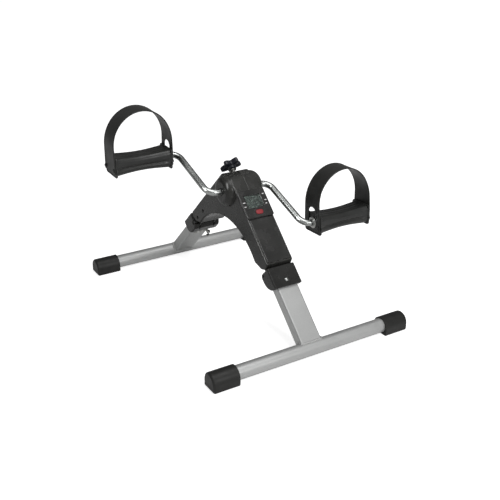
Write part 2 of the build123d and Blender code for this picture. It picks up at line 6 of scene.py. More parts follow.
import bpy
import numpy as np
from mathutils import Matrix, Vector

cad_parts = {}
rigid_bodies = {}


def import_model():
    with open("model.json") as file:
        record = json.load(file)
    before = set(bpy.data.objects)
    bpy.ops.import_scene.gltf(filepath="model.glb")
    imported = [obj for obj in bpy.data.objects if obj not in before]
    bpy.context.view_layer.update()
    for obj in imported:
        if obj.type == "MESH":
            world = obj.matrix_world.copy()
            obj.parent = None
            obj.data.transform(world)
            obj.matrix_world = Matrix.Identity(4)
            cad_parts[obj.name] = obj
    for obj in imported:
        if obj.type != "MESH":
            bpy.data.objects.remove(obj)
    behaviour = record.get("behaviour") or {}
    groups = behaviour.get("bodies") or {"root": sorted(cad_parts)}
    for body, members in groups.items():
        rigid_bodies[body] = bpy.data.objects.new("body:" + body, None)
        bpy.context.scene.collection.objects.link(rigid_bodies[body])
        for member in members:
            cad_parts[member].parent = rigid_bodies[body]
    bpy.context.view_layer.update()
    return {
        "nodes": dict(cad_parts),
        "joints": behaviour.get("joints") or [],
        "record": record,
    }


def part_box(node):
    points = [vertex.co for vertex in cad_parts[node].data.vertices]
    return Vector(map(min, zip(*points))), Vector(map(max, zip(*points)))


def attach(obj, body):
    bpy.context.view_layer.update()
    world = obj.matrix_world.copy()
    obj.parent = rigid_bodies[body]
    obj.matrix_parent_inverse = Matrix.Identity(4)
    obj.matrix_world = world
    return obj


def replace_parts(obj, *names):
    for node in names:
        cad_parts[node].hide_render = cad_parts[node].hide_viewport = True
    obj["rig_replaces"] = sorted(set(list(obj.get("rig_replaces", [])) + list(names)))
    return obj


MM = 0.001

for old in list(bpy.data.objects):
    bpy.data.objects.remove(old)

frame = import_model()
joints = {j["name"]: j for j in frame["joints"]}
nodes = frame["nodes"]

X_AXIS = Vector((1, 0, 0))
AXLE = Vector(joints["crank_turn"]["pos_m"])
SPINDLE = {-1: Vector(joints["left_pedal_spin"]["pos_m"]), 1: Vector(joints["right_pedal_spin"]["pos_m"])}
KNOB = Vector(joints["tension_turn"]["pos_m"])
KNOB_DIR = -Vector(joints["tension_turn"]["axis"]).normalized()
OUT = {
    -1: -Vector(joints["front_button_press"]["axis"]).normalized(),
    1: -Vector(joints["rear_button_press"]["axis"]).normalized(),
}
UP = {side: Vector((0, -side * OUT[side].z, side * OUT[side].y)) for side in (-1, 1)}
WORD = {-1: "left", 1: "right"}
END = {-1: "front", 1: "rear"}


def limb(side, off, u, x=0.0):
    """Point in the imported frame, off out from a limb's base line and u up along it, sizes in millimetres."""
    return (OUT[side] * off + UP[side] * u + X_AXIS * x) * MM


# ---------------------------------------------------------------- node materials
class Graph:
    """Small helper that writes a node tree left to right."""

    def __init__(self, name, soft=0.0005):
        """soft is the radius in metres that the shading rounds edges by, 0 for none."""
        self.soft = soft
        self.material = bpy.data.materials.new(name)
        self.material.use_nodes = True
        self.tree = self.material.node_tree
        self.tree.nodes.clear()
        self.coords = self.add("ShaderNodeTexCoord").outputs["Object"]

    def add(self, kind, **values):
        node = self.tree.nodes.new(kind)
        for key, value in values.items():
            setattr(node, key, value)
        return node

    def link(self, source, target):
        self.tree.links.new(source, target)

    def noise(self, scale, detail=4.0, rough=0.55, stretch=(1, 1, 1), distort=0.0):
        mapping = self.add("ShaderNodeMapping")
        mapping.inputs["Scale"].default_value = stretch
        self.link(self.coords, mapping.inputs["Vector"])
        node = self.add("ShaderNodeTexNoise")
        node.inputs["Scale"].default_value = scale
        node.inputs["Detail"].default_value = detail
        node.inputs["Roughness"].default_value = rough
        node.inputs["Distortion"].default_value = distort
        self.link(mapping.outputs["Vector"], node.inputs["Vector"])
        return node.outputs["Fac"]

    def cells(self, scale, stretch=(1, 1, 1)):
        mapping = self.add("ShaderNodeMapping")
        mapping.inputs["Scale"].default_value = stretch
        self.link(self.coords, mapping.inputs["Vector"])
        node = self.add("ShaderNodeTexVoronoi")
        node.inputs["Scale"].default_value = scale
        self.link(mapping.outputs["Vector"], node.inputs["Vector"])
        return node.outputs["Distance"]

    def ramp(self, value, low, high, out_low=0.0, out_high=1.0):
        node = self.add("ShaderNodeMapRange")
        node.inputs["From Min"].default_value = low
        node.inputs["From Max"].default_value = high
        node.inputs["To Min"].default_value = out_low
        node.inputs["To Max"].default_value = out_high
        self.link(value, node.inputs["Value"])
        return node.outputs["Result"]

    def math(self, operation, a, b):
        node = self.add("ShaderNodeMath", operation=operation)
        for i, value in enumerate((a, b)):
            if isinstance(value, (int, float)):
                node.inputs[i].default_value = value
            else:
                self.link(value, node.inputs[i])
        return node.outputs[0]

    def mix(self, factor, a, b):
        node = self.add("ShaderNodeMix", data_type="RGBA")
        if isinstance(factor, (int, float)):
            node.inputs["Factor"].default_value = factor
        else:
            self.link(factor, node.inputs["Factor"])
        for name, value in (("A", a), ("B", b)):
            target = [s for s in node.inputs if s.name == name and s.type == "RGBA"][0]
            if isinstance(value, (tuple, list)):
                target.default_value = (*value[:3], 1.0)
            else:
                self.link(value, target)
        return [s for s in node.outputs if s.type == "RGBA"][0]

    def edges(self, radius):
        """1 on convex edges, 0 on flats, from the bevel normal against the true normal."""
        bevel = self.add("ShaderNodeBevel", samples=4)
        bevel.inputs["Radius"].default_value = radius
        geometry = self.add("ShaderNodeNewGeometry")
        dot = self.add("ShaderNodeVectorMath", operation="DOT_PRODUCT")
        self.link(bevel.outputs["Normal"], dot.inputs[0])
        self.link(geometry.outputs["Normal"], dot.inputs[1])
        return self.ramp(dot.outputs["Value"], 0.99, 0.86)

    def scratches(self, scale, amount):
        lines = self.noise(scale, 2.0, 0.5, (1, 22, 7), 0.4)
        thin = self.math("ABSOLUTE", self.math("SUBTRACT", lines, 0.5), 0.0)
        return self.math("MULTIPLY", self.ramp(thin, 0.006, 0.0), amount)

    def finish(self, colour, rough, bump, metallic, bump_strength, bump_distance, **extra):
        """Principled shader with its bump map; extra holds other inputs, with _ for each space."""
        shader = self.add("ShaderNodeBsdfPrincipled")
        for target, value in (("Base Color", colour), ("Roughness", rough), ("Metallic", metallic)):
            if isinstance(value, (tuple, list)):
                shader.inputs[target].default_value = (*value[:3], 1.0)
            elif isinstance(value, (int, float)):
                shader.inputs[target].default_value = value
            else:
                self.link(value, shader.inputs[target])
        for target, value in extra.items():
            shader.inputs[target.replace("_", " ")].default_value = value
        node = self.add("ShaderNodeBump")
        node.inputs["Strength"].default_value = bump_strength
        node.inputs["Distance"].default_value = bump_distance
        self.link(bump, node.inputs["Height"])
        if self.soft:
            rounded = self.add("ShaderNodeBevel", samples=6)
            rounded.inputs["Radius"].default_value = self.soft
            self.link(rounded.outputs["Normal"], node.inputs["Normal"])
        self.link(node.outputs["Normal"], shader.inputs["Normal"])
        out = self.add("ShaderNodeOutputMaterial")
        self.link(shader.outputs["BSDF"], out.inputs["Surface"])
        return self.material


def plastic(name, colour, rough=0.45, grain=2600.0, strength=0.12, worn=0.5, gloss=0.5, soft=0.0005):
    """Moulded plastic: fine spark grain, faint cloudy tone, scuffed edges and hairline scratches."""
    g = Graph(name, soft)
    clouds = g.noise(22.0, 5.0)
    light = tuple(min(1.0, c * 1.35 + 0.006) for c in colour)
    dark = tuple(c * 0.8 for c in colour)
    base = g.mix(g.ramp(clouds, 0.3, 0.7), dark, light)
    scuff = g.math("MULTIPLY", g.edges(0.0012), g.ramp(g.noise(260.0, 3.0), 0.42, 0.62, 0.0, worn))
    worn_colour = tuple(min(1.0, c * 2.2 + 0.03) for c in colour)
    base = g.mix(scuff, base, worn_colour)
    lines = g.scratches(38.0, 0.15)
    base = g.mix(lines, base, worn_colour)
    fine = g.noise(grain, 2.0, 0.5)
    patches = g.ramp(g.noise(55.0, 4.0), 0.3, 0.7, rough - 0.06, rough + 0.08)
    roughness = g.math("ADD", patches, g.math("MULTIPLY", lines, 0.2))
    height = g.math("SUBTRACT", g.math("MULTIPLY", fine, 0.6), g.math("MULTIPLY", lines, 0.5))
    return g.finish(base, roughness, height, 0.0, strength, 0.0003, Specular_IOR_Level=gloss)


def silver_paint(name, colour):
    """Silver powder coat over steel tube: metallic flake, orange peel, rubbed spots and faint drawn lines."""
    g = Graph(name)
    flake = g.cells(5200.0)
    clouds = g.noise(14.0, 5.0)
    dull = tuple(c * 0.88 for c in colour)
    bright = tuple(min(1.0, c * 1.1) for c in colour)
    base = g.mix(g.ramp(flake, 0.1, 0.7), dull, bright)
    base = g.mix(g.ramp(clouds, 0.35, 0.75, 0.0, 0.35), base, tuple(c * 0.82 for c in colour))
    lines = g.scratches(30.0, 0.12)
    base = g.mix(lines, base, tuple(c * 0.7 for c in colour))
    wear = g.math("MULTIPLY", g.edges(0.0009), g.ramp(g.noise(300.0, 3.0), 0.5, 0.65, 0.0, 0.5))
    base = g.mix(wear, base, (0.75, 0.75, 0.76))
    rough = g.ramp(g.noise(80.0, 4.0), 0.3, 0.7, 0.42, 0.54)
    peel = g.noise(900.0, 3.0)
    return g.finish(base, rough, g.math("SUBTRACT", peel, lines), 0.72, 0.12, 0.0002)


def plated(name, colour, rough=0.12, brushed=0.0, metallic=1.0, soft=0.0005):
    """Plated or machined metal with fine polishing lines, haze and small pits."""
    g = Graph(name, soft)
    haze = g.noise(30.0, 5.0)
    base = g.mix(g.ramp(haze, 0.3, 0.75), tuple(c * 0.86 for c in colour), colour)
    pits = g.ramp(g.noise(420.0, 2.0), 0.7, 0.78, 0.0, 0.5)
    base = g.mix(pits, base, tuple(c * 0.4 for c in colour))
    lines = g.noise(70.0, 4.0, 0.6, (1, 30, 30)) if brushed else g.noise(600.0, 4.0, 0.6)
    hazed = g.ramp(haze, 0.3, 0.8, rough * 0.7, rough * 1.5)
    roughness = g.math("ADD", hazed, g.math("MULTIPLY", lines, 0.02 + brushed))
    return g.finish(base, roughness, lines, metallic, 0.005 + brushed * 0.5, 0.0001)


def fabric(name, colour):
    """Pressed felt with fine fibres."""
    g = Graph(name)
    fibres = g.noise(1500.0, 6.0, 0.8)
    base = g.mix(fibres, tuple(c * 0.6 for c in colour), tuple(min(1, c * 1.3) for c in colour))
    return g.finish(base, 0.95, fibres, 0.0, 0.5, 0.0006)


def clear(name, colour):
    """Clear moulded window with faint smears."""
    g = Graph(name)
    smear = g.noise(60.0, 4.0)
    rough = g.ramp(smear, 0.3, 0.7, 0.03, 0.12)
    return g.finish(colour, rough, smear, 0.0, 0.02, 0.0001, Transmission_Weight=1.0, IOR=1.46)


def display_glass(name, colour):
    """Grey-green display glass, slightly cloudy."""
    g = Graph(name)
    fine = g.noise(1800.0, 2.0)
    clouds = g.noise(90.0, 4.0)
    base = g.mix(g.ramp(clouds, 0.3, 0.7), tuple(c * 0.85 for c in colour), tuple(c * 1.12 for c in colour))
    return g.finish(base, g.ramp(clouds, 0.3, 0.7, 0.22, 0.34), fine, 0.0, 0.05, 0.0001)


MATERIALS = {
    "housing": plastic("housing", (0.019, 0.019, 0.0175), 0.24, gloss=0.28, soft=0.0024),
    "cover": plastic("cover", (0.016, 0.016, 0.0152), 0.24, gloss=0.3, soft=0.0024),
    "cap": plastic("cap", (0.0115, 0.0115, 0.0105), 0.42, gloss=0.35, soft=0.001),
    "pedal": plastic("pedal", (0.016, 0.0165, 0.0155), 0.34, grain=1800.0, gloss=0.45),
    "strap": plastic("strap", (0.02, 0.0202, 0.0188), 0.4, grain=1500.0, strength=0.18, worn=0.3, gloss=0.4),
    "leg_paint": silver_paint("leg_paint", (0.5, 0.505, 0.5)),
    "chrome": plated("chrome", (0.43, 0.445, 0.435), 0.26, soft=0.0),
    "zinc": plated("zinc", (0.62, 0.62, 0.6), 0.28, 0.08),
    "dark_steel": plated("dark_steel", (0.08, 0.08, 0.08), 0.35, 0.05, 0.6),
    "knob": plastic("knob", (0.004, 0.005, 0.011), 0.4, grain=900.0, strength=0.04, worn=0.35, gloss=0.5),
    "button": plastic("button", (0.24, 0.014, 0.02), 0.35, grain=1400.0, strength=0.06, worn=0.2),
    "lcd": display_glass("lcd", (0.075, 0.092, 0.082)),
    "lcd_figure": display_glass("lcd_figure", (0.038, 0.05, 0.045)),
    "window": clear("window", (0.92, 0.97, 0.95)),
    "board": plastic("board", (0.03, 0.2, 0.07), 0.35, grain=800.0),
    "battery": plated("battery", (0.7, 0.7, 0.7), 0.2, 0.05),
    "mark": plastic("mark", (0.75, 0.75, 0.75), 0.5, worn=0.1),
    "felt": fabric("felt", (0.3, 0.25, 0.2)),
    "bronze": plated("bronze", (0.6, 0.42, 0.2), 0.35, 0.06),
    "drum": plated("drum", (0.3, 0.3, 0.31), 0.4, 0.1),
    "magnet": plated("magnet", (0.7, 0.7, 0.72), 0.15),
    "cable": plastic("cable", (0.02, 0.02, 0.02), 0.5, grain=900.0),
}
slot_of = {s["node"]: s["material_slot"] for s in frame["record"]["subparts"]}


def dress(obj, slot, body=None):
    """Gives a new piece its material and the CAD body it rides on."""
    obj.data.materials.clear()
    obj.data.materials.append(MATERIALS[slot])
    if body:
        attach(obj, body)
    return obj


def smooth_by_angle(obj, degrees=35.0):
    """Smooth shading with sharp edges kept where faces turn by more than this."""
    mesh = obj.data
    mesh.polygons.foreach_set("use_smooth", [True] * len(mesh.polygons))
    mesh.set_sharp_from_angle(angle=math.radians(degrees))


for name, obj in nodes.items():
    obj.data.materials.clear()
    obj.data.materials.append(MATERIALS[slot_of[name]])


# ---------------------------------------------------------------- mesh builders
def mesh_piece(name, points, faces, slot, body, sharp=35.0):
    mesh = bpy.data.meshes.new(name)
    mesh.from_pydata([tuple(p) for p in points], [], faces)
    mesh.validate()
    mesh.update()
    obj = bpy.data.objects.new(name, mesh)
    bpy.context.scene.collection.objects.link(obj)
    smooth_by_angle(obj, sharp)
    return dress(obj, slot, body)


def rings_mesh(rings, loop=False):
    """Points and faces of a skin through equal rings, capped at both ends or joined in a loop."""
    count = len(rings[0])
    points = [p for ring in rings for p in ring]
    faces = []
    last = len(rings) if loop else len(rings) - 1
    for i in range(last):
        a, b = i * count, ((i + 1) % len(rings)) * count
        for k in range(count):
            n = (k + 1) % count
            faces.append((a + k, a + n, b + n, b + k))
    if not loop:
        faces.append(tuple(reversed(range(count))))
        faces.append(tuple(range(len(points) - count, len(points))))
    return points, faces


def join(parts):
    """One point and face list from several."""
    points, faces = [], []
    for p, f in parts:
        base = len(points)
        points += list(p)
        faces += [tuple(i + base for i in face) for face in f]
    return points, faces


def turns(sides):
    """Angles evenly spaced round a full turn."""
    return [2 * math.pi * k / sides for k in range(sides)]


def sweep(path, radius, sides=24, up=Vector((0, 0, 1))):
    """Round bar along a list of points."""
    rings = []
    normal = None
    for i, p in enumerate(path):
        ahead = path[min(i + 1, len(path) - 1)] - path[max(i - 1, 0)]
        tangent = ahead.normalized()
        if normal is None:
            normal = (up - tangent * up.dot(tangent)).normalized()
        else:
            normal = (normal - tangent * normal.dot(tangent)).normalized()
        side = tangent.cross(normal)
        rings.append([p + (normal * math.cos(a) + side * math.sin(a)) * radius for a in turns(sides)])
    return rings_mesh(rings)


def lathe(origin, axis, profile, sides=48):
    """Solid of revolution: profile is (radius, distance along the axis) pairs in millimetres."""
    axis = axis.normalized()
    side = X_AXIS if abs(axis.x) < 0.9 else Vector((0, 1, 0))
    side = (side - axis * side.dot(axis)).normalized()
    other = axis.cross(side)
    rings = []
    for r, s in profile:
        r = max(r, 0.002)
        centre = origin + axis * s * MM
        rings.append([centre + (side * math.cos(a) + other * math.sin(a)) * r * MM for a in turns(sides)])
    return rings_mesh(rings)


def rounded_rect(width, height, radius, per_corner=8):
    """Outline points of a rounded rectangle, anticlockwise from the right side."""
    points = []
    for cx, cy, start in (
        (width / 2 - radius, height / 2 - radius, 0),
        (-width / 2 + radius, height / 2 - radius, 90),
        (-width / 2 + radius, -height / 2 + radius, 180),
        (width / 2 - radius, -height / 2 + radius, 270),
    ):
        for k in range(per_corner + 1):
            a = math.radians(start + 90.0 * k / per_corner)
            points.append((cx + radius * math.cos(a), cy + radius * math.sin(a)))
    return points


def resample(outline, count):
    """The same closed outline with evenly spaced points."""
    pts = np.array(outline + [outline[0]], float)
    lengths = np.r_[0, np.cumsum(np.hypot(*np.diff(pts, axis=0).T))]
    at = np.linspace(0, lengths[-1], count, endpoint=False)
    return list(zip(np.interp(at, lengths, pts[:, 0]), np.interp(at, lengths, pts[:, 1])))


def arc_path(points, radius, steps=20):
    """A path through corner points with each corner rounded."""
    path = [points[0]]
    for before, corner, after in zip(points, points[1:], points[2:]):
        a = (before - corner).normalized()
        b = (after - corner).normalized()
        angle = a.angle(b)
        reach = radius / math.tan(angle / 2)
        centre = corner + (a + b).normalized() * (radius / math.sin(angle / 2))
        start, end = corner + a * reach - centre, corner + b * reach - centre
        for k in range(steps + 1):
            t = k / steps
            whole = start.angle(end)
            path.append(
                centre + (start * math.sin((1 - t) * whole) + end * math.sin(t * whole)) / math.sin(whole)
            )
    path.append(points[-1])
    return path


# ---------------------------------------------------------------- crank rod
ROD = 6.0 * MM
BEND = 20.0 * MM
AXLE_CORNER = 0.0627
ARM_CORNER = 0.072
rod_low, rod_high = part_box("crank_rod")
corners = [
    Vector((rod_low.x, SPINDLE[-1].y, SPINDLE[-1].z)),
    Vector((-ARM_CORNER, SPINDLE[-1].y, SPINDLE[-1].z)),
    Vector((-AXLE_CORNER, AXLE.y, AXLE.z)),
    Vector((AXLE_CORNER, AXLE.y, AXLE.z)),
    Vector((ARM_CORNER, SPINDLE[1].y, SPINDLE[1].z)),
    Vector((rod_high.x, SPINDLE[1].y, SPINDLE[1].z)),
]
rod = mesh_piece("rod", *sweep(arc_path(corners, BEND), ROD, 40), "chrome", "crank", 60)
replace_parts(rod, "crank_rod")

# ---------------------------------------------------------------- pedals
PEDAL_IN = 92.4
PEDAL_LENGTH = 111.2
PEDAL_DROP = 1.2
TREAD_INSET = 2.8
PLATE_INSET = 3.0
HOOK_FORE = 18.0
LUG_FORE = 24.7
HOOK_UP = -6.0
TREAD = (46.0, 35.2)
WAIST = (41.0, 29.6)
PLATE = (49.0, 38.0)
PEDAL_TILT = {-1: math.radians(2.0), 1: math.radians(-2.0)}


def pedal_point(side, x, fore, up):
    """Point on a pedal: x out from the middle of the machine, fore to the rear, up off the spindle."""
    t = PEDAL_TILT[side]
    return SPINDLE[side] + Vector(
        (
            side * x * MM - SPINDLE[side].x,
            (fore * math.cos(t) - up * math.sin(t)) * MM,
            (fore * math.sin(t) + up * math.cos(t)) * MM,
        )
    )


def groove(distance, depth, width):
    """How deep a groove cuts in at this distance from its middle."""
    return depth * math.exp(-((distance / width) ** 2))


def tread_outline(waist, ribs):
    """Section of the tread: soft block, a deep groove on each side, three shallow ones top and bottom."""
    width = TREAD[0] + (WAIST[0] - TREAD[0]) * waist
    height = TREAD[1] + (WAIST[1] - TREAD[1]) * waist
    out = []
    for a, b in resample(rounded_rect(width, height, 10.0, 14), 260):
        if abs(a) > width / 2 - 2.5:
            a -= math.copysign(ribs * groove(b + 3.0, 2.2, 2.6), a)
        if abs(b) > height / 2 - 2.5:
            b -= math.copysign(ribs * sum(groove(a - place, 0.9, 1.3) for place in (-9.0, 0.0, 9.0)), b)
        out.append((a, b - PEDAL_DROP))
    return out


for side in (-1, 1):
    word = WORD[side]
    rings = []
    inner, outer = PEDAL_IN + TREAD_INSET, PEDAL_IN + PEDAL_LENGTH - TREAD_INSET
    steps = 48
    for k in range(steps + 1):
        t = k / steps
        x = inner + (outer - inner) * t
        ribs = min(1.0, 9.0 * t, 9.0 * (1 - t))
        rings.append([pedal_point(side, x, a, b) for a, b in tread_outline(math.sin(math.pi * t), ribs)])
    tread = mesh_piece(word + "_tread", *rings_mesh(rings), "pedal", word + "_pedal", 50)
    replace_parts(tread, word + "_pedal_body")

    # end plates: flanged rim, hooks for the strap and a thumb lug at each end
    ends = (("inner", PEDAL_IN + PLATE_INSET, -1), ("outer", PEDAL_IN + PEDAL_LENGTH - PLATE_INSET, 1))
    for place, x0, step in ends:
        parts = []
        outline = resample(rounded_rect(*PLATE, 5.0, 10), 140)
        stations = ((0.0, 0.5), (0.5, 0.0), (2.5, 0.0), (3.0, 0.5), (3.0, 2.4), (2.3, 3.0))
        rings = []
        for s, inset in stations:
            across, tall = 1 - 2 * inset / PLATE[0], 1 - 2 * inset / PLATE[1]
            x = x0 + step * s
            rings.append([pedal_point(side, x, a * across, b * tall - PEDAL_DROP) for a, b in outline])
        parts.append(rings_mesh(rings))
        axis = X_AXIS * (side * step)
        for fore in (-HOOK_FORE, HOOK_FORE):
            root = pedal_point(side, x0 + step * 2.2, fore, HOOK_UP)
            profile = ((2.3, 0.0), (2.3, 3.3), (3.3, 3.5), (3.3, 4.5), (2.7, 5.2), (0.0, 5.3))
            parts.append(lathe(root, axis, profile, 28))
        for fore in (-LUG_FORE, LUG_FORE):
            root = pedal_point(side, x0 + step * 0.2, fore, HOOK_UP)
            parts.append(lathe(root, axis, ((2.0, 0.0), (2.5, 0.4), (2.5, 2.3), (2.0, 2.7), (0, 2.7)), 20))
        plate = mesh_piece(f"{word}_plate_{place}", *join(parts), "pedal", word + "_pedal", 40)
        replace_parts(plate, f"{word}_pedal_plate_{place}")

# ---------------------------------------------------------------- straps
STRAP_HALF = PEDAL_LENGTH / 2 + 1.2
STRAP_MID = PEDAL_IN + PEDAL_LENGTH / 2
STRAP_WIDTH = 46.0
STRAP_TAPER = 5.0
OPENING_HALF = 12.0
OPENING_TOP = 18.0
STRAP_FOOT = -12.5
STRAP_SHOULDER = 34.0
STRAP_TOP = 95.8
STRAP_LEAN = 1.6
STRAIGHT_ROWS = 40
ARCH_ROWS = 120


def strap_line():
    """Centre line of the strap, crank side's foot to outer foot, as x, up, normal x and normal up."""
    rise = STRAP_TOP - STRAP_SHOULDER
    straight = STRAP_SHOULDER - STRAP_FOOT
    line = []
    for k in range(STRAIGHT_ROWS):
        line.append((-STRAP_HALF, STRAP_FOOT + straight * k / STRAIGHT_ROWS, -1.0, 0.0))
    for k in range(ARCH_ROWS + 1):
        a = math.pi * (1 - k / ARCH_ROWS)
        nx, nz = math.cos(a) / STRAP_HALF, math.sin(a) / rise
        size = math.hypot(nx, nz)
        line.append((STRAP_HALF * math.cos(a), STRAP_SHOULDER + rise * math.sin(a), nx / size, nz / size))
    for k in range(1, STRAIGHT_ROWS + 1):
        line.append((STRAP_HALF, STRAP_SHOULDER - straight * k / STRAIGHT_ROWS, 1.0, 0.0))
    return line


def strap_mesh(side):
    """Band along the strap's line with the spindle opening left out, thickened to a closed skin."""
    line = strap_line()
    rows, columns = len(line) - 1, 36
    keep = np.ones((rows, columns), bool)
    for i in range(STRAIGHT_ROWS + 1):
        up = (line[i][1] + line[i + 1][1]) / 2
        for j in range(columns):
            fore = ((j + 0.5) / columns - 0.5) * STRAP_WIDTH
            above = max(0.0, up - OPENING_TOP)
            if abs(fore) < OPENING_HALF and above**2 + fore**2 < OPENING_HALF**2:
                keep[i, j] = False
    points, index, faces = [], {}, []

    def vertex(i, j, layer):
        key = (i, j, layer)
        if key not in index:
            x, up, nx, nz = line[i]
            narrow = min(1.0, max(0.0, (up - 10.0) / 50.0))
            fore = (j / columns - 0.5) * (STRAP_WIDTH - STRAP_TAPER * narrow) + STRAP_LEAN * narrow
            rim = min(j, columns - j)
            raised = 0.35 if rim in (1, 2) else (-0.35 if rim == 0 else 0.0)
            d = (1.0 + (raised if layer > 0 else min(raised, 0.0))) * layer
            index[key] = len(points)
            points.append(pedal_point(side, STRAP_MID + x + nx * d, fore, up + nz * d))
        return index[key]

    for i in range(rows):
        for j in range(columns):
            if not keep[i, j]:
                continue
            corners = ((i, j), (i + 1, j), (i + 1, j + 1), (i, j + 1))
            faces.append(tuple(vertex(a, b, 1) for a, b in corners))
            faces.append(tuple(vertex(a, b, -1) for a, b in reversed(corners)))
            for (a, b), (c, d), (ni, nj) in (
                (corners[0], corners[1], (i, j - 1)),
                (corners[1], corners[2], (i + 1, j)),
                (corners[2], corners[3], (i, j + 1)),
                (corners[3], corners[0], (i - 1, j)),
            ):
                if not (0 <= ni < rows and 0 <= nj < columns and keep[ni, nj]):
                    faces.append((vertex(a, b, 1), vertex(a, b, -1), vertex(c, d, -1), vertex(c, d, 1)))
    return points, faces


for side in (-1, 1):
    word = WORD[side]
    strap = mesh_piece(word + "_strap_band", *strap_mesh(side), "strap", word + "_pedal", 50)
    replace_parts(strap, word + "_strap")

# ---------------------------------------------------------------- star knob and tension screw
KNOB_SIDE = X_AXIS
KNOB_OTHER = KNOB_DIR.cross(X_AXIS)
LOBES = 5
LOBE_TIP = 20.8
LOBE_VALLEY = 12.8


def star_radius(angle):
    """Distance from the knob's axis to its edge: broad lobes that narrow to round tips."""
    wave = (1 + math.cos(LOBES * angle)) / 2
    return LOBE_VALLEY + (LOBE_TIP - LOBE_VALLEY) * wave**1.15


def knob_ring(s, inset, shrink=1.0, sides=160):
    ring = []
    for a in turns(sides):
        r = max((star_radius(a) - inset) * shrink, 0.05) * MM
        ring.append(KNOB + KNOB_DIR * s * MM + (KNOB_SIDE * math.cos(a) + KNOB_OTHER * math.sin(a)) * r)
    return ring


star = rings_mesh(
    [
        knob_ring(-5.2, 2.2, 0.02),
        knob_ring(-5.2, 2.2, 0.7),
        knob_ring(-5.2, 2.0),
        knob_ring(-4.8, 0.9),
        knob_ring(-4.1, 0.2),
        knob_ring(-3.2, 0.0),
        knob_ring(1.4, 0.0),
        knob_ring(2.4, 0.3),
        knob_ring(3.2, 1.1),
        knob_ring(3.6, 2.4),
        knob_ring(3.6, 3.4, 0.8),
        knob_ring(3.2, 3.4, 0.62),
        knob_ring(3.2, 3.4, 0.02),
    ]
)
hub_profile = ((3.05, -9.5), (6.9, -9.5), (7.5, -9.0), (7.5, -6.4), (8.6, -4.9), (3.05, -4.9))
hub = lathe(KNOB, KNOB_DIR, hub_profile, 48)
knob = mesh_piece("star_knob", *join([star, hub]), "knob", "tension_knob", 55)
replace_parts(knob, "tension_knob")


def threaded_bar(origin, axis, radius, pitch, low, high, sides=28):
    """Bar with a helical thread, all sizes in millimetres."""
    axis = axis.normalized()
    side = (X_AXIS - axis * axis.x).normalized()
    other = axis.cross(side)
    rows = int((high - low) / (pitch / 8))
    rings = []
    for i in range(rows + 1):
        s = low + (high - low) * i / rows
        ring = []
        for k in range(sides):
            turn = k / sides
            phase = (s / pitch - turn) % 1.0
            r = (radius - 0.62 * pitch * abs(2 * phase - 1) * 0.8) * MM
            a = 2 * math.pi * turn
            ring.append(origin + axis * s * MM + (side * math.cos(a) + other * math.sin(a)) * r)
        rings.append(ring)
    return rings_mesh(rings)


collar_profile = ((2.6, -12.6), (6.0, -12.6), (6.5, -12.3), (6.5, -11.9), (6.0, -11.6), (2.6, -11.6))
collar = lathe(KNOB, KNOB_DIR, collar_profile, 40)
screw = mesh_piece(
    "tension_bolt",
    *join([threaded_bar(KNOB, KNOB_DIR, 3.0, 1.25, -25.4, 2.1), collar]),
    "zinc",
    "tension_knob",
    30,
)
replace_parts(screw, "tension_screw")

# ---------------------------------------------------------------- legs: weld beads, lock buttons, springs
TUBE_Y = 247.7
TUBE_Z = 15.0
TUBE_R = 13.0
LEG_MID = 181.0
LEG_SIZE = (42.0, 20.0)
BEAD_R = 2.0
BEAD_SIDES = 14
BEAD_RIPPLES = 44
BEAD_WAVES = 13
BUTTON_U = {-1: -44.0, 1: -40.0}
BUTTON_FOOT = 187.2
BUTTON_R = 3.75
BUTTON_SHOULDER = 9.0
BUTTON_CROWN = 2.0
SPRING_FOOT = 173.2
SPRING_LENGTH = 10.0
SPRING_TURNS = 7
SPRING_R = 3.5
SPRING_WIRE_R = 0.45
SPRING_STEPS = 199


def tube_top(side, off):
    """Height u up the limb where a line at distance off meets the floor tube."""
    cy, cz = side * TUBE_Y, TUBE_Z
    base = limb(side, off, 0.0) / MM
    along = UP[side]
    dy, dz = base.y - cy, base.z - cz
    half_b = dy * along.y + dz * along.z
    return -half_b + math.sqrt(max(half_b**2 - (dy * dy + dz * dz - TUBE_R**2), 0.0))


